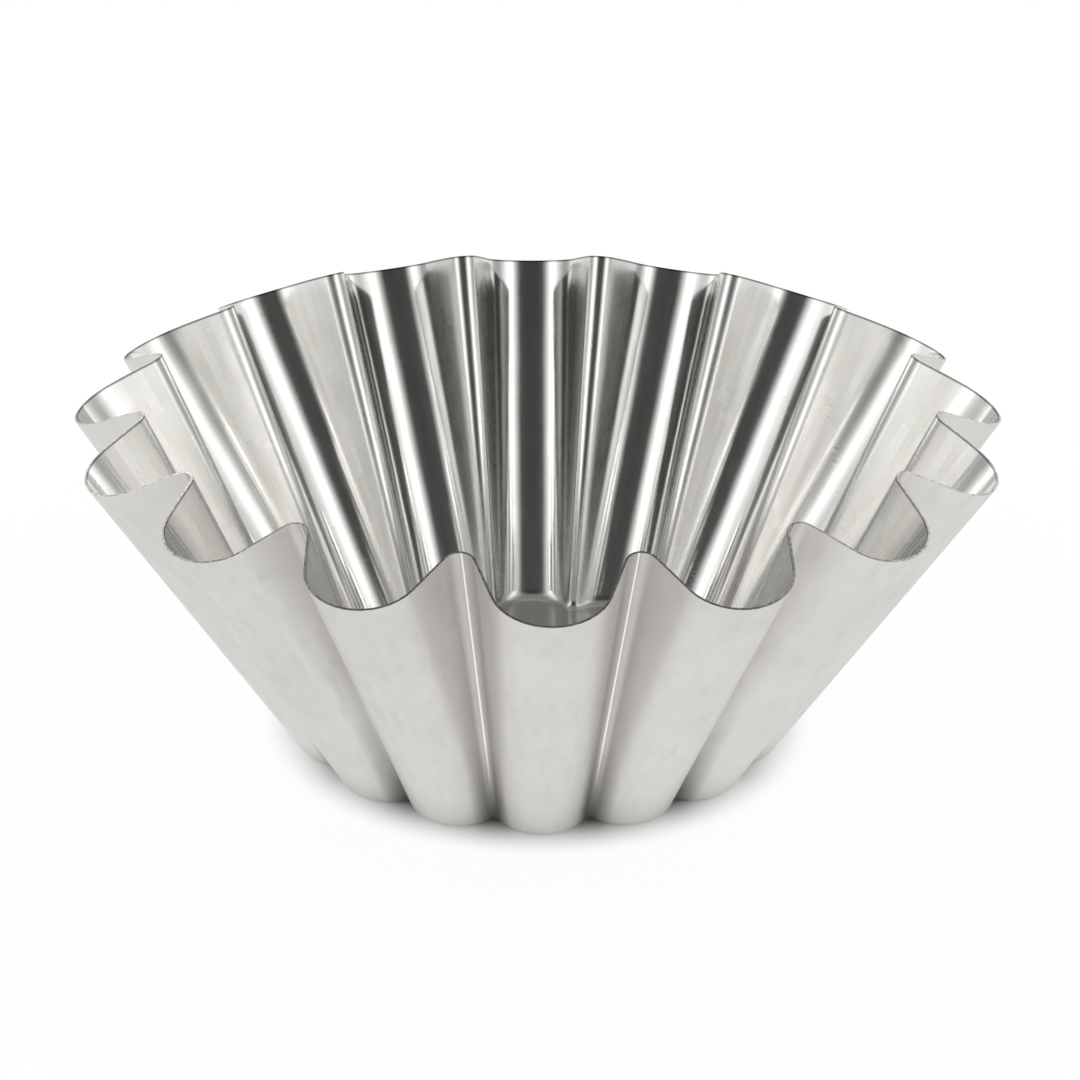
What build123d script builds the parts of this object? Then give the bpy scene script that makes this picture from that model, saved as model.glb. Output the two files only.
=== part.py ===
from build123d import *
from math import atan, cos, degrees, hypot, pi, radians, sin, sqrt, tan
import os

# A brioche mould: one sheet of tinned steel pressed into a flat floor and a flared,
# deeply fluted wall. The origin is the middle of the underside and +Z points up, out
# of the open mouth. Wide round lobes stand outwards, tight ridges point inwards, and
# flat flanks join them. One lobe points along each of +X, -X, +Y and -Y.

# Driving dimensions, in millimetres unless a name says otherwise
flute_count = 16
flank_turn_deg = 62.0        # how far each flank turns away from its lobe's middle
sheet = 0.5                  # thickness of the sheet

lobe_rim_height = 79.5       # height of the cut edge on the middle of a lobe
ridge_rim_height = 87.5      # the cut edge climbs to this height on each ridge
rim_lobe_radius = 110.0      # outside radius at the edge, on the middle of a lobe
base_lobe_radius = 62.0      # where the lobe's line would meet the table

ridge_bend = 3.0             # outside radius of a ridge's fold
foot_flank = 0.5             # flat width left on each flank at the table
floor_bend = 2.5             # outside radius of the turn from the wall to the floor
inner_flat = 1.3             # width on each side of the same turn, inside the mould

trim_reach = 6.0             # how far the untrimmed wall stands above the highest edge

# What follows from them: slopes are radius gained for each unit of height
half_pitch = pi / flute_count
lobe_wedge = pi / 2 - radians(flank_turn_deg)
ridge_wedge = lobe_wedge + half_pitch
ridge_share = sin(lobe_wedge) / sin(ridge_wedge)
lobe_slope = (rim_lobe_radius - base_lobe_radius) / lobe_rim_height
ridge_slope = lobe_slope * ridge_share
flank_slope = lobe_slope * sin(lobe_wedge)
level_thickness = sheet * sqrt(1 + flank_slope ** 2)
flank_share = sin(half_pitch) / sin(ridge_wedge)


def gap_share(wedge, slope):
    """How far a sharp corner of the outline stands beyond its bend, for a bend of one."""
    lean = atan(slope)
    half_corner = atan(tan(wedge) / cos(lean))
    return (1 / sin(half_corner) - 1) / cos(lean)


def reach_share(wedge, slope):
    """How far a bend reaches along the flank from its sharp corner, for a bend of one."""
    return 1 / (tan(wedge) * hypot(cos(wedge), sin(wedge) / cos(atan(slope))))


def lobe_round():
    """Outside radius of a lobe's round, as large as the foot of the flank leaves room for."""
    taken = ridge_bend * reach_share(ridge_wedge, ridge_slope) + foot_flank
    per_bend = reach_share(lobe_wedge, lobe_slope) - flank_share * gap_share(lobe_wedge, lobe_slope)
    return (base_lobe_radius * flank_share - taken) / per_bend


lobe_bend = lobe_round()


def lobe_corner(height, inset):
    """Radius of a lobe's sharp corner at a height, with the flanks moved in by the inset."""
    outer = base_lobe_radius + lobe_bend * gap_share(lobe_wedge, lobe_slope) + lobe_slope * height
    return outer - inset / sin(lobe_wedge)


def star_corners(height, inset):
    """The sharp corners of the outline at a height, a lobe and a ridge in turn."""
    lobe_radius = lobe_corner(height, inset)
    radii = (lobe_radius, lobe_radius * ridge_share)
    return [Vector(radii[corner % 2], 0, height).rotate(Axis.Z, degrees(half_pitch) * corner)
            for corner in range(2 * flute_count)]


def sharp_block(floor, inset):
    """A flared star with flat flanks, from the floor to above the cut edge."""
    low = star_corners(floor, inset)
    high = star_corners(ridge_rim_height + trim_reach, inset)
    faces = [Face(Wire.make_polygon(low, close=True)), Face(Wire.make_polygon(high, close=True))]
    for corner in range(2 * flute_count):
        after = (corner + 1) % (2 * flute_count)
        flank = Wire.make_polygon([low[corner], low[after], high[after], high[corner]], close=True)
        faces.append(Face(flank))
    return Solid(Shell(faces))


def rising_edges(block):
    """The wall's own edges, those nearest the axis first."""
    rising = [edge for edge in block.edges() if edge.bounding_box().size.Z > trim_reach]
    return sorted(rising, key=lambda edge: hypot(edge.center().X, edge.center().Y))


def floor_edges(block, floor):
    """The edges round the block's floor."""
    return [edge for edge in block.edges() if edge.bounding_box().max.Z - floor < sheet / 10]


def fluted_block(floor, inset):
    """The flared star with its ridges folded and its lobes rounded, inset from outside."""
    block = sharp_block(floor, inset)
    block = block.fillet(ridge_bend + inset, rising_edges(block)[:flute_count])
    return block.fillet(lobe_bend - inset, rising_edges(block)[-flute_count:])


def trimming_cone():
    """All that lies above the cut edge, whose height climbs from lobe to ridge."""
    ridge_gap = ridge_bend * gap_share(ridge_wedge, ridge_slope)
    rim_ridge_radius = lobe_corner(ridge_rim_height, 0) * ridge_share + ridge_gap
    climb = (ridge_rim_height - lobe_rim_height) / (rim_lobe_radius - rim_ridge_radius)
    outer = 2 * rim_lobe_radius
    outer_height = lobe_rim_height - climb * (outer - rim_lobe_radius)
    apex_height = lobe_rim_height + climb * rim_lobe_radius
    roof = apex_height + ridge_rim_height
    profile = Polyline((0, 0, apex_height), (outer, 0, outer_height), (outer, 0, roof), (0, 0, roof),
                       close=True)
    return revolve(make_face(profile), Axis.Z)


def mould_shell():
    """The whole pressed sheet: outer form less inner form, trimmed at the rim."""
    outer = fluted_block(0, 0)
    outer = outer.fillet(floor_bend, floor_edges(outer, 0))
    inner = fluted_block(sheet, level_thickness)
    inner = inner.chamfer(inner_flat, None, floor_edges(inner, sheet))
    return outer - inner - trimming_cone()


os.makedirs("parts", exist_ok=True)
shell = mould_shell()
shell.label = "mould_shell"
export_step(shell, "parts/mould_shell.step")
print("mould_shell", shell.is_valid, len(shell.solids()), round(shell.volume, 1))
print("size", shell.bounding_box().size)
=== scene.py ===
from math import cos, pi, radians, sin

import bpy
from mathutils import Matrix, Vector


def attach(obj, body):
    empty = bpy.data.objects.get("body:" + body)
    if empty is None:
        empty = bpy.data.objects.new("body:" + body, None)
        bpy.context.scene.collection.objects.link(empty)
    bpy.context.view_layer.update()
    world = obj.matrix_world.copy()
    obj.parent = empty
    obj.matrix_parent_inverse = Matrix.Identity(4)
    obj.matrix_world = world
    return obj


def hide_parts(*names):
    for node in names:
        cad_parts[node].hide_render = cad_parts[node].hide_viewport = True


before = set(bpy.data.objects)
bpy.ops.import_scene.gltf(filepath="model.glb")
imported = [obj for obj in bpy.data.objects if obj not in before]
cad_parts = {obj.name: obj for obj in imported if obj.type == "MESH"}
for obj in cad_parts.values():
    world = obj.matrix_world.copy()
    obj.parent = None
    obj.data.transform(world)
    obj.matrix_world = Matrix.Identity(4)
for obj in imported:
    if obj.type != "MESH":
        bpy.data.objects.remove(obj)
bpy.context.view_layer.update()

# One pressed sheet makes the whole mould: bright inside, satin outside, with a raw cut
# edge. Its sizes are in millimetres, which mm turns into Blender's metres.
mm = 0.001
flutes = 16
half_pitch = pi / flutes
sheet = 0.5
lobe_edge_height = 79.6        # height of the cut edge on the middle of a lobe
ridge_edge_height = 87.4       # the cut edge climbs to this height on each inward ridge
edge_lobe_radius = 109.9       # outside radius at the edge, on the middle of a lobe
foot_lobe_radius = 60.6        # where the lobe's line would meet the table
floor_bend = 2.6               # width on each side of the turn from the wall to the floor

# How finely the loft follows the form
lobe_steps = 16
ridge_steps = 10
flank_cuts = 3
floor_rows = 8
bend_rows = 5
wall_rows = 36


def colour(code):
    """Turns a screen colour such as #d8d6d2 into the linear one that shaders take."""
    parts = [int(code[place:place + 2], 16) / 255 for place in (1, 3, 5)]
    linear = [part / 12.92 if part <= 0.04045 else ((part + 0.055) / 1.055) ** 2.4 for part in parts]
    return (*linear, 1)


def add(tree, kind, inputs=None, **settings):
    """Adds a node with its settings, and fills its inputs or links them: to a socket, or
    to the first output that is in use on another node.

    Inputs go by name or by number. A map range has its value at 0, the range that it comes
    from at 1 and 2 and the range that it goes to at 3 and 4. A mix has its share at 0, its
    numbers at 2 and 3, its vectors at 4 and 5 and its colours at 6 and 7."""
    node = tree.nodes.new(kind)
    for name, value in settings.items():
        setattr(node, name, value)
    for name, value in (inputs or {}).items():
        if isinstance(value, bpy.types.Node):
            value = next(socket for socket in value.outputs if socket.enabled)
        if isinstance(value, bpy.types.NodeSocket):
            tree.links.new(value, node.inputs[name])
        else:
            node.inputs[name].default_value = value
    return node


def star(lobe_radius, lobe_round, ridge_round, turn_deg):
    """Sizes of a fluted outline: its sharp corners, its rounds and the radius each one
    reaches, for flanks that turn away from the middle of their lobe by an angle."""
    lobe_wedge = pi / 2 - radians(turn_deg)
    ridge_wedge = lobe_wedge + half_pitch
    lobe_corner = lobe_radius + lobe_round * (1 / sin(lobe_wedge) - 1)
    ridge_corner = lobe_corner * sin(lobe_wedge) / sin(ridge_wedge)
    ridge_radius = ridge_corner + ridge_round * (1 / sin(ridge_wedge) - 1)
    return {"Lobe Corner": lobe_corner, "Ridge Corner": ridge_corner, "Lobe Round": lobe_round,
            "Ridge Round": ridge_round, "Lobe Radius": lobe_radius, "Ridge Radius": ridge_radius}


# The loft runs up to the height of the ridges, so its top outline is wider than the edge
# is on a lobe. The bends grow and the flanks turn further on the way up.
lobe_flare = edge_lobe_radius - foot_lobe_radius
top_lobe_radius = edge_lobe_radius + lobe_flare * (ridge_edge_height / lobe_edge_height - 1)
outline_sizes = {"Foot": star(foot_lobe_radius, lobe_round=11.2, ridge_round=1.5, turn_deg=51),
                 "Top": star(top_lobe_radius, lobe_round=13.0, ridge_round=3.2, turn_deg=74)}


# Materials

def new_material(name):
    """An empty node material, with its tree."""
    material = bpy.data.materials.new(name)
    material.use_nodes = True
    material.node_tree.nodes.clear()
    return material, material.node_tree


def height_above_table(tree):
    """Height above the table, in metres."""
    place = add(tree, "ShaderNodeTexCoord").outputs["Object"]
    return add(tree, "ShaderNodeSeparateXYZ", {0: place}).outputs["Z"]


def wall_share(tree):
    """None on the floor of the mould, all on its wall."""
    return add(tree, "ShaderNodeMapRange", {0: height_above_table(tree), 1: 0.8 * mm, 2: 4 * mm})


def lobe_turn(tree):
    """Turn round the axis from the middle of the nearest lobe, up to half a pitch."""
    place = add(tree, "ShaderNodeTexCoord").outputs["Object"]
    parts = add(tree, "ShaderNodeSeparateXYZ", {0: place}).outputs
    turn = add(tree, "ShaderNodeMath", {0: parts["Y"], 1: parts["X"]}, operation="ARCTAN2")
    return add(tree, "ShaderNodeMath", {0: turn, 1: half_pitch}, operation="PINGPONG")


def fold_distance(tree):
    """Distance from the middle of the nearest inward fold, in metres."""
    place = add(tree, "ShaderNodeTexCoord").outputs["Object"]
    radius = add(tree, "ShaderNodeVectorMath", {0: place}, operation="LENGTH")
    turn = add(tree, "ShaderNodeMath", {0: half_pitch, 1: lobe_turn(tree)}, operation="SUBTRACT")
    return add(tree, "ShaderNodeMath", {0: turn, 1: radius}, operation="MULTIPLY")


def draw_marks(tree, width, length, detail):
    """Noise drawn out along the wall, of one width and length in millimetres. On the floor
    it is held at its own middle value, so that no marks show there."""
    middle = 0.5
    along_wall = add(tree, "ShaderNodeUVMap", uv_map="UVMap")
    stretched = add(tree, "ShaderNodeMapping",
                    {"Vector": along_wall, "Scale": (1 / (width * mm), 1 / (length * mm), 1)})
    marks = add(tree, "ShaderNodeTexNoise",
                {"Vector": stretched, "Scale": 1.0, "Detail": detail, "Roughness": 0.6})
    return add(tree, "ShaderNodeMix", {0: wall_share(tree), 2: middle, 3: marks}, data_type="FLOAT")


def clouds(tree, size, detail):
    """Even noise of one size, in millimetres."""
    place = add(tree, "ShaderNodeTexCoord").outputs["Object"]
    return add(tree, "ShaderNodeTexNoise",
               {"Vector": place, "Scale": 1 / (size * mm), "Detail": detail})


def outside_metal():
    """Tinned steel as the die leaves it: satin, so the eye sees a soft light grey with faint
    clouds and draw marks. Its colour carries painted shade low in and near each fold, and a
    painted highlight down the middle of each fold, smoother there too, which the eye sees as a bright
    thread."""
    material, tree = new_material("tinned_steel_outside")
    fine = draw_marks(tree, width=0.9, length=30, detail=4)
    broad = draw_marks(tree, width=7, length=120, detail=2)
    height = height_above_table(tree)
    fold = fold_distance(tree)

    # Painted highlight: a lighter colour down the middle of each fold above the foot, where the
    # roughness also drops
    in_fold = add(tree, "ShaderNodeMapRange", {0: fold, 1: 0.1 * mm, 2: 0.32 * mm, 3: 1.0, 4: 0.0})
    above_foot = add(tree, "ShaderNodeMapRange", {0: height, 1: 12 * mm, 2: 30 * mm})
    line = add(tree, "ShaderNodeMath", {0: in_fold, 1: above_foot}, operation="MULTIPLY")
    # Painted shade: the colour darkens near each fold, and most low down towards the foot
    near_fold = add(tree, "ShaderNodeMapRange", {0: fold, 1: 0.5 * mm, 2: 4.5 * mm, 3: 1.0, 4: 0.0})
    low_down = add(tree, "ShaderNodeMapRange", {0: height, 1: 6 * mm, 2: 28 * mm, 3: 0.9, 4: 0.33})
    painted_fold_shade = add(tree, "ShaderNodeMath", {0: near_fold, 1: low_down}, operation="MULTIPLY")

    cloud = add(tree, "ShaderNodeMapRange", {0: clouds(tree, size=22, detail=2), 1: 0.35, 2: 0.65})
    mark = add(tree, "ShaderNodeMapRange", {0: fine, 1: 0.5, 2: 0.75, 3: 0.0, 4: 0.2})
    tint = colour("#e3e1de")
    # Besides random clouds and draw marks, the colour takes painted shade in the folds and a painted
    # highlight down their middles
    for share, code in ((cloud, "#dfddda"), (mark, "#cecbc7"), (painted_fold_shade, "#7d7a76"), (line, "#fbfaf8")):
        tint = add(tree, "ShaderNodeMix", {0: share, 6: tint, 7: colour(code)}, data_type="RGBA")

    fine_rough = add(tree, "ShaderNodeMapRange", {0: fine, 1: 0.3, 2: 0.7, 3: 0.36, 4: 0.46})
    broad_rough = add(tree, "ShaderNodeMapRange", {0: broad, 1: 0.35, 2: 0.65, 3: 0.0, 4: 0.06})
    satin = add(tree, "ShaderNodeMath", {0: fine_rough, 1: broad_rough}, operation="ADD")
    burnish = add(tree, "ShaderNodeMapRange", {0: line, 3: 1.0, 4: 0.5})
    rough = add(tree, "ShaderNodeMath", {0: satin, 1: burnish}, operation="MULTIPLY")

    grain = add(tree, "ShaderNodeMath", {0: fine, 1: 0.08}, operation="MULTIPLY")
    relief = add(tree, "ShaderNodeMath", {0: broad, 1: 0.6, 2: grain}, operation="MULTIPLY_ADD")
    bump = add(tree, "ShaderNodeBump", {"Strength": 1.0, "Distance": 0.05 * mm, "Height": relief})
    metal = add(tree, "ShaderNodeBsdfPrincipled",
                {"Base Color": tint, "Metallic": 1, "Roughness": rough, "Normal": bump})
    add(tree, "ShaderNodeOutputMaterial", {"Surface": metal})
    return material


def inside_metal():
    """The tinned face that the punch polished: close to a mirror on the lobes and ridges and
    less so on the flat flanks. Long draw marks break its reflections into threads, a slow
    waviness from the press bends them, and the tin is darker just below the cut edge."""
    material, tree = new_material("tinned_steel_inside")
    fine = draw_marks(tree, width=1.4, length=90, detail=3)
    broad = draw_marks(tree, width=5, length=160, detail=2)
    wall = wall_share(tree)
    turn = lobe_turn(tree)

    patch = add(tree, "ShaderNodeMapRange", {0: broad, 1: 0.35, 2: 0.65})
    below = add(tree, "ShaderNodeAttribute", attribute_name="below_edge").outputs["Fac"]
    edge = add(tree, "ShaderNodeMapRange", {0: below, 1: 0.25 * mm, 2: 0.6 * mm, 3: 1.0, 4: 0.0})
    tint = colour("#e8e7e5")
    for share, code in ((patch, "#dbdad5"), (edge, "#7f7c79")):
        tint = add(tree, "ShaderNodeMix", {0: share, 6: tint, 7: colour(code)}, data_type="RGBA")

    past_lobe = add(tree, "ShaderNodeMapRange", {0: turn, 1: 0.5 * half_pitch, 2: 0.7 * half_pitch})
    short_of_ridge = add(tree, "ShaderNodeMapRange",
                         {0: turn, 1: 0.84 * half_pitch, 2: 0.94 * half_pitch, 3: 1.0, 4: 0.0})
    between = add(tree, "ShaderNodeMath", {0: past_lobe, 1: short_of_ridge}, operation="MULTIPLY")
    flank = add(tree, "ShaderNodeMath", {0: between, 1: wall}, operation="MULTIPLY")
    fine_rough = add(tree, "ShaderNodeMapRange", {0: fine, 1: 0.35, 2: 0.7, 3: 0.10, 4: 0.17})
    floor_rough = add(tree, "ShaderNodeMapRange", {0: wall, 3: 0.08, 4: 0.0})
    polish = add(tree, "ShaderNodeMath", {0: fine_rough, 1: floor_rough}, operation="ADD")
    rough = add(tree, "ShaderNodeMath", {0: flank, 1: 0.16, 2: polish}, operation="MULTIPLY_ADD")

    marks = add(tree, "ShaderNodeMath", {0: fine, 1: 0.5, 2: broad}, operation="MULTIPLY_ADD")
    threads = add(tree, "ShaderNodeMath", {0: marks, 1: wall}, operation="MULTIPLY")
    wave = clouds(tree, size=20, detail=1)
    relief = add(tree, "ShaderNodeMath", {0: wave, 1: 2.6, 2: threads}, operation="MULTIPLY_ADD")
    bump = add(tree, "ShaderNodeBump", {"Strength": 1.0, "Distance": 0.06 * mm, "Height": relief})
    metal = add(tree, "ShaderNodeBsdfPrincipled",
                {"Base Color": tint, "Metallic": 1, "Roughness": rough, "Normal": bump})
    add(tree, "ShaderNodeOutputMaterial", {"Surface": metal})
    return material


def cut_edge_metal():
    """The sheared edge: bare steel between two skins of tin, with a fine burr. The eye sees
    it as a thin line, dark where it mirrors the dim room above."""
    material, tree = new_material("tinned_steel_cut_edge")
    burr = add(tree, "ShaderNodeMapRange", {0: clouds(tree, size=0.8, detail=2), 1: 0.4, 2: 0.65})
    steel = add(tree, "ShaderNodeMix", {0: burr, 6: colour("#8a8783"), 7: colour("#bcb9b5")},
                data_type="RGBA")
    metal = add(tree, "ShaderNodeBsdfPrincipled",
                {"Base Color": steel, "Metallic": 1, "Roughness": 0.24})
    add(tree, "ShaderNodeOutputMaterial", {"Surface": metal})
    return material


# The sheet

def rounded_star(tree, given, level):
    """A star with one round on its lobes, another on its ridges, and points along its flanks."""
    corners = add(tree, "GeometryNodeCurveStar",
                  {"Points": given["Flutes"], "Outer Radius": given[level + " Lobe Corner"],
                   "Inner Radius": given[level + " Ridge Corner"], "Twist": 0.0})
    place = add(tree, "GeometryNodeInputIndex")
    odd = add(tree, "ShaderNodeMath", {0: place, 1: 2}, operation="MODULO")
    lobe = add(tree, "ShaderNodeMath", {0: 1, 1: odd}, operation="SUBTRACT")
    count = add(tree, "GeometryNodeSwitch", {"Switch": lobe, "False": ridge_steps, "True": lobe_steps},
                input_type="INT")
    radius = add(tree, "GeometryNodeSwitch",
                 {"Switch": lobe, "False": given[level + " Ridge Round"],
                  "True": given[level + " Lobe Round"]}, input_type="FLOAT")
    rounded = add(tree, "GeometryNodeFilletCurve",
                  {"Curve": corners, "Count": count, "Radius": radius}, mode="POLY")

    # A flank starts at the last point of each round: the lobe's, then the ridge's
    tolerance = 0.1
    points = lobe_steps + ridge_steps + 2
    point = add(tree, "GeometryNodeInputIndex")
    step = add(tree, "ShaderNodeMath", {0: point, 1: points}, operation="MODULO")
    lobe_end = add(tree, "ShaderNodeMath", {0: step, 1: lobe_steps, 2: tolerance},
                   operation="COMPARE")
    ridge_end = add(tree, "ShaderNodeMath", {0: step, 1: points - 1, 2: tolerance},
                    operation="COMPARE")
    ends = add(tree, "ShaderNodeMath", {0: lobe_end, 1: ridge_end}, operation="ADD")
    cuts = add(tree, "ShaderNodeMath", {0: ends, 1: flank_cuts}, operation="MULTIPLY")
    return add(tree, "GeometryNodeSubdivideCurve", {"Curve": rounded, "Cuts": cuts})


def sheet_tree(material):
    """Node group that lofts two rounded stars into the outside face of the mould: rows for
    its floor, for the turn into the wall and for the wall, up to the wavy cut edge."""
    tree = bpy.data.node_groups.new("pressed_fluted_sheet", "GeometryNodeTree")
    face = tree.interface
    face.new_socket("Geometry", in_out="OUTPUT", socket_type="NodeSocketGeometry")
    face.new_socket("Flutes", in_out="INPUT", socket_type="NodeSocketInt")
    for name in ("Lobe Edge Share", "Ridge Edge Height", "Floor Bend",
                 "Foot Lobe Corner", "Foot Ridge Corner", "Foot Lobe Round", "Foot Ridge Round",
                 "Top Lobe Corner", "Top Ridge Corner", "Top Lobe Round", "Top Ridge Round",
                 "Top Ridge Radius", "Top Lobe Radius"):
        face.new_socket(name, in_out="INPUT", socket_type="NodeSocketFloat")
    given = add(tree, "NodeGroupInput").outputs

    # The grid's points are numbered column by column, and the last column meets the first.
    # A part of one is added before each division, so that rounding can't reach the next.
    columns = flutes * (lobe_steps + ridge_steps + 2 + 2 * flank_cuts)
    rows = floor_rows + bend_rows + wall_rows
    column_points = rows + 1
    grid = add(tree, "GeometryNodeMeshGrid", {"Vertices X": columns + 1, "Vertices Y": column_points})
    index = add(tree, "GeometryNodeInputIndex")
    inner = add(tree, "ShaderNodeMath", {0: index, 1: 0.5}, operation="ADD")
    share = add(tree, "ShaderNodeMath", {0: inner, 1: column_points}, operation="DIVIDE")
    column = add(tree, "ShaderNodeMath", {0: share}, operation="FLOOR")
    before = add(tree, "ShaderNodeMath", {0: column, 1: column_points}, operation="MULTIPLY")
    row = add(tree, "ShaderNodeMath", {0: index, 1: before}, operation="SUBTRACT")
    within = add(tree, "ShaderNodeMath", {0: column, 1: 0.25}, operation="ADD")
    wrapped = add(tree, "ShaderNodeMath", {0: within, 1: columns}, operation="MODULO")

    # Points of both outlines, and the way out from the foot's
    position = add(tree, "GeometryNodeInputPosition")
    tangent = add(tree, "GeometryNodeInputTangent")
    foot = rounded_star(tree, given, "Foot")
    top = rounded_star(tree, given, "Top")
    foot_point, foot_tangent, top_flat = [
        add(tree, "GeometryNodeSampleIndex", {"Geometry": outline, "Value": value, "Index": wrapped},
            data_type="FLOAT_VECTOR", domain="POINT")
        for outline, value in ((foot, position), (foot, tangent), (top, position))]
    outward = add(tree, "ShaderNodeVectorMath", {0: foot_tangent, 1: (0, 0, 1)},
                  operation="CROSS_PRODUCT")
    raised = add(tree, "ShaderNodeCombineXYZ", {"Z": given["Ridge Edge Height"]})
    top_point = add(tree, "ShaderNodeVectorMath", {0: top_flat, 1: raised}, operation="ADD")

    # The cut edge dips from each ridge to the middle of each lobe
    radius = add(tree, "ShaderNodeVectorMath", {0: top_flat}, operation="LENGTH")
    reach = add(tree, "ShaderNodeMapRange", {0: radius, 1: given["Top Ridge Radius"],
                                             2: given["Top Lobe Radius"], 3: 1.0,
                                             4: given["Lobe Edge Share"]})
    edge_point = add(tree, "ShaderNodeMix", {0: reach, 4: foot_point, 5: top_point},
                     data_type="VECTOR")

    # The turn from the floor to the wall is a curve between a point on each
    inset = add(tree, "ShaderNodeVectorMath", {0: outward, "Scale": given["Floor Bend"]},
                operation="SCALE")
    floor_point = add(tree, "ShaderNodeVectorMath", {0: foot_point, 1: inset}, operation="SUBTRACT")
    rise = add(tree, "ShaderNodeMath", {0: given["Floor Bend"], 1: given["Ridge Edge Height"]},
               operation="DIVIDE")
    wall_point = add(tree, "ShaderNodeMix", {0: rise, 4: foot_point, 5: top_point},
                     data_type="VECTOR")

    bend_start = floor_rows
    wall_start = floor_rows + bend_rows
    floor_way, bend_way, wall_way = [
        add(tree, "ShaderNodeMapRange", {0: row, 1: start, 2: end})
        for start, end in ((0, bend_start), (bend_start, wall_start), (wall_start, rows))]
    into_foot = add(tree, "ShaderNodeMix", {0: bend_way, 4: floor_point, 5: foot_point},
                    data_type="VECTOR")
    out_of_foot = add(tree, "ShaderNodeMix", {0: bend_way, 4: foot_point, 5: wall_point},
                      data_type="VECTOR")
    bend_point = add(tree, "ShaderNodeMix", {0: bend_way, 4: into_foot, 5: out_of_foot},
                     data_type="VECTOR")
    low_point = add(tree, "ShaderNodeVectorMath", {0: bend_point, "Scale": floor_way},
                    operation="SCALE")
    point = add(tree, "ShaderNodeMix", {0: wall_way, 4: low_point, 5: edge_point},
                data_type="VECTOR")
    placed = add(tree, "GeometryNodeSetPosition", {"Geometry": grid, "Position": point})

    # A map in metres: along the top outline, and up from the middle of the floor
    outline_place = add(tree, "GeometryNodeSplineParameter").outputs["Length"]
    outline_length = add(tree, "GeometryNodeCurveLength", {"Curve": top})
    along_top = add(tree, "GeometryNodeSampleIndex",
                    {"Geometry": top, "Value": outline_place, "Index": wrapped},
                    data_type="FLOAT", domain="POINT")
    share = add(tree, "ShaderNodeMath", {0: within, 1: columns}, operation="DIVIDE")
    turns = add(tree, "ShaderNodeMath", {0: share}, operation="FLOOR")
    around = add(tree, "ShaderNodeMath", {0: turns, 1: outline_length, 2: along_top},
                 operation="MULTIPLY_ADD")
    flat = add(tree, "ShaderNodeVectorMath", {0: floor_point}, operation="LENGTH")
    wall = add(tree, "ShaderNodeVectorMath", {0: edge_point, 1: wall_point}, operation="DISTANCE")
    up = add(tree, "ShaderNodeMath", {0: given["Floor Bend"], 1: bend_way}, operation="MULTIPLY")
    for length, way in ((flat, floor_way), (wall, wall_way)):
        up = add(tree, "ShaderNodeMath", {0: length, 1: way, 2: up}, operation="MULTIPLY_ADD")
    mapped = add(tree, "ShaderNodeCombineXYZ", {"X": around, "Y": up})
    stored = add(tree, "GeometryNodeStoreNamedAttribute",
                 {"Geometry": placed, "Name": "UVMap", "Value": mapped},
                 data_type="FLOAT2", domain="CORNER")

    # How far a point lies below the cut edge, in metres
    rest = add(tree, "ShaderNodeMath", {0: 1, 1: wall_way}, operation="SUBTRACT")
    below = add(tree, "ShaderNodeMath", {0: wall, 1: rest}, operation="MULTIPLY")
    marked = add(tree, "GeometryNodeStoreNamedAttribute",
                 {"Geometry": stored, "Name": "below_edge", "Value": below},
                 data_type="FLOAT", domain="POINT")

    closed = add(tree, "GeometryNodeMergeByDistance", {"Geometry": marked, "Distance": 0.001 * mm})
    smooth = add(tree, "GeometryNodeSetShadeSmooth", {"Geometry": closed, "Shade Smooth": True})
    real = add(tree, "GeometryNodeRealizeInstances", {"Geometry": smooth})
    done = add(tree, "GeometryNodeSetMaterial", {"Geometry": real, "Material": material})
    add(tree, "NodeGroupOutput", {"Geometry": done})
    return tree


def baked(piece, name):
    """The piece's evaluated mesh in a new object, with no modifier left."""
    evaluated = piece.evaluated_get(bpy.context.evaluated_depsgraph_get())
    mesh = bpy.data.meshes.new_from_object(evaluated)
    made = bpy.data.objects.new(name, mesh)
    bpy.context.scene.collection.objects.link(made)
    bpy.data.objects.remove(piece)
    return made


def pressed_sheet():
    """The whole mould: the lofted outside face, thickened inwards by the sheet."""
    outside, inside, cut_edge = outside_metal(), inside_metal(), cut_edge_metal()
    tree = sheet_tree(outside)
    form = bpy.data.objects.new("form", bpy.data.meshes.new("form"))
    bpy.context.scene.collection.objects.link(form)
    loft = form.modifiers.new("loft", "NODES")
    loft.node_group = tree
    values = {"Flutes": flutes, "Lobe Edge Share": lobe_edge_height / ridge_edge_height,
              "Ridge Edge Height": ridge_edge_height * mm, "Floor Bend": floor_bend * mm}
    for level, sizes in outline_sizes.items():
        for name, size in sizes.items():
            values[level + " " + name] = size * mm
    for item in tree.interface.items_tree:
        if item.item_type == "SOCKET" and item.in_out == "INPUT":
            loft[item.identifier] = values[item.name]
    single = baked(form, "single_face")

    # The inner face takes the second material, and the cut edge the third
    single.data.materials.append(inside)
    single.data.materials.append(cut_edge)
    thicken = single.modifiers.new("thicken", "SOLIDIFY")
    thicken.thickness = sheet * mm
    thicken.offset = -1
    thicken.use_even_offset = True
    thicken.material_offset = 1
    thicken.material_offset_rim = 2
    piece = baked(single, "mould_sheet")
    crease = radians(40)
    piece.data.set_sharp_from_angle(angle=crease)
    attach(piece, "root")
    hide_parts("mould_shell")


pressed_sheet()


# The stage

def plainly_seen(tree):
    """One for the eye's own rays and those that metal or glass turns, none for scattered light."""
    path = add(tree, "ShaderNodeLightPath").outputs
    turned = add(tree, "ShaderNodeMath", {0: path["Is Glossy Ray"], 1: path["Is Transmission Ray"]},
                 operation="MAXIMUM")
    return add(tree, "ShaderNodeMath", {0: path["Is Camera Ray"], 1: turned}, operation="MAXIMUM")


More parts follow.
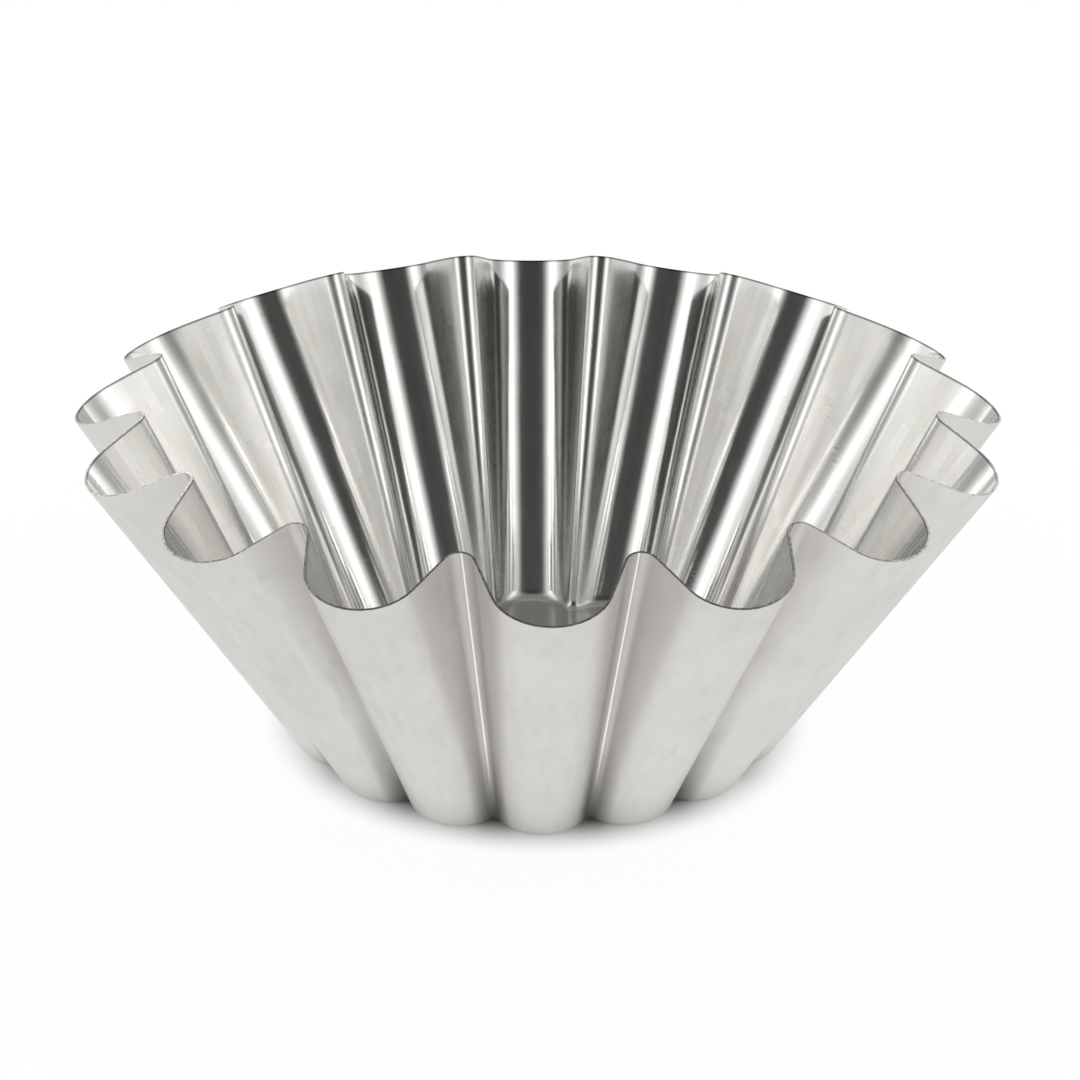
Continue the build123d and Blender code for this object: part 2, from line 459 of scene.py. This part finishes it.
def floor_material():
    """Matt white paper. The eye and the metal see plain white, which gives way to the paper and
    the mould's shadow under the mould and, a little, close round it; as that ring is set by
    distance alone, it is partly painted shade."""
    material, tree = new_material("studio_floor")
    place = add(tree, "ShaderNodeTexCoord").outputs["Object"]
    distance = add(tree, "ShaderNodeVectorMath", {0: place}, operation="LENGTH")
    # Close round the foot, and a little out to 200 mm, the plain white is held back by distance from
    # the middle alone: that ring is painted shade, and within it the paper shows the mould's real
    # shadow
    clear_of_foot = add(tree, "ShaderNodeMapRange", {0: distance, 1: 55 * mm, 2: 69 * mm},
                        interpolation_type="SMOOTHSTEP")
    clear_of_rim = add(tree, "ShaderNodeMapRange",
                       {0: distance, 1: 80 * mm, 2: 200 * mm, 3: 0.96, 4: 1.0})
    plain = add(tree, "ShaderNodeMath", {0: clear_of_foot, 1: clear_of_rim}, operation="MULTIPLY")
    share = add(tree, "ShaderNodeMath", {0: plain, 1: plainly_seen(tree)}, operation="MULTIPLY")
    paper = add(tree, "ShaderNodeBsdfDiffuse", {"Color": colour("#f8f8f7")})
    white = add(tree, "ShaderNodeEmission", {"Color": colour("#ffffff"), "Strength": 1.0})
    both = add(tree, "ShaderNodeMixShader", {0: share, 1: paper, 2: white})
    add(tree, "ShaderNodeOutputMaterial", {"Surface": both})
    return material


def floor():
    """A wide white floor, a hair below the mould's own."""
    half_width = 6
    gap = 0.0001
    corners = [(-half_width, -half_width, 0), (half_width, -half_width, 0),
               (half_width, half_width, 0), (-half_width, half_width, 0)]
    mesh = bpy.data.meshes.new("studio_floor")
    mesh.from_pydata(corners, [], [(0, 1, 2, 3)])
    mesh.materials.append(floor_material())
    piece = bpy.data.objects.new("studio_floor", mesh)
    piece.location.z = -gap
    bpy.context.scene.collection.objects.link(piece)


def room():
    """A plain soft room: white at eye level, brighter to the sides, dim overhead, and dark in
    front and above the camera. Metal mirrors it as bands of light and dark."""
    world = bpy.data.worlds.new("studio")
    bpy.context.scene.world = world
    world.use_nodes = True
    tree = world.node_tree
    tree.nodes.clear()
    way = add(tree, "ShaderNodeTexCoord").outputs["Generated"]
    parts = add(tree, "ShaderNodeSeparateXYZ", {0: way}).outputs
    aside = add(tree, "ShaderNodeMath", {0: parts["X"]}, operation="ABSOLUTE")

    # The dark part is centred this high above the level, and is wider than it is high
    dark_height = radians(41)
    dark_middle = (0, -cos(dark_height), sin(dark_height))
    toward = add(tree, "ShaderNodeVectorMath", {0: way, 1: dark_middle}, operation="DOT_PRODUCT")
    squared = add(tree, "ShaderNodeMath", {0: aside, 1: aside}, operation="MULTIPLY")
    widened = add(tree, "ShaderNodeMath", {0: squared, 1: 0.22, 2: toward}, operation="MULTIPLY_ADD")

    # White at eye level and dim overhead, times what each row gives: what it follows, from
    # where to where, and the light at either end
    light = add(tree, "ShaderNodeMapRange", {0: parts["Z"], 1: 0.6, 2: 0.93, 3: 1.0, 4: 0.22})
    for value, start, end, before, after in (
            (widened, cos(radians(35)), cos(radians(19)), 1.0, 0.07),    # the dark part
            (aside, 0.25, 0.6, 1.1, 1.55),                               # brighter to the sides
            (aside, 0.8, 0.97, 1.0, 0.3),                                # dim at the far sides
            (plainly_seen(tree), 0.0, 1.0, 0.75, 1.0)):                  # softer where it only lights
        factor = add(tree, "ShaderNodeMapRange", {0: value, 1: start, 2: end, 3: before, 4: after})
        light = add(tree, "ShaderNodeMath", {0: light, 1: factor}, operation="MULTIPLY")
    sky = add(tree, "ShaderNodeBackground", {"Color": colour("#ffffff"), "Strength": light})
    add(tree, "ShaderNodeOutputWorld", {"Surface": sky})


def lamp():
    """One wide soft lamp behind the mould, turned towards it."""
    place = Vector((-0.15, 1.35, 1.1))
    aim = Vector((0, 0, 0.05))
    data = bpy.data.lights.new("lamp_behind", "AREA")
    data.shape = "RECTANGLE"
    data.size = 1.6
    data.size_y = 0.8
    data.energy = 9
    piece = bpy.data.objects.new("lamp_behind", data)
    piece.location = place
    piece.rotation_euler = (place - aim).to_track_quat("Z", "Y").to_euler()
    bpy.context.scene.collection.objects.link(piece)


def camera():
    """The photograph's point of view, on a long lens: it looks down on the mould from in
    front and a little to the left, and is tilted by a hair."""
    picture_width = 1080           # pixels
    focal_length = 2606.0          # pixels
    sensor_width = 36              # millimetres
    rim_middle = Vector((0, 0, 0.079))
    distance = 0.620               # metres from the middle of the rim
    azimuth = -0.0273              # radians, to the left of the front
    elevation = 0.3973             # radians, about 23 degrees
    roll = 0.0107                  # radians
    aim_aside = 0.0004
    aim_height = 0.04675
    back = Vector((sin(azimuth) * cos(elevation), -cos(azimuth) * cos(elevation), sin(elevation)))
    place = rim_middle + back * distance
    aim = Vector((cos(azimuth) * aim_aside, sin(azimuth) * aim_aside, aim_height))
    data = bpy.data.cameras.new("camera")
    data.sensor_width = sensor_width
    data.lens = sensor_width * focal_length / picture_width
    data.clip_start = 0.01
    view = bpy.data.objects.new("camera", data)
    turn = (place - aim).to_track_quat("Z", "Y").to_matrix().to_4x4()
    view.matrix_world = Matrix.Translation(place) @ turn @ Matrix.Rotation(roll, 4, "Z")
    bpy.context.scene.collection.objects.link(view)
    bpy.context.scene.camera = view


floor()
room()
lamp()
camera()
bpy.context.scene.view_settings.view_transform = "Standard"
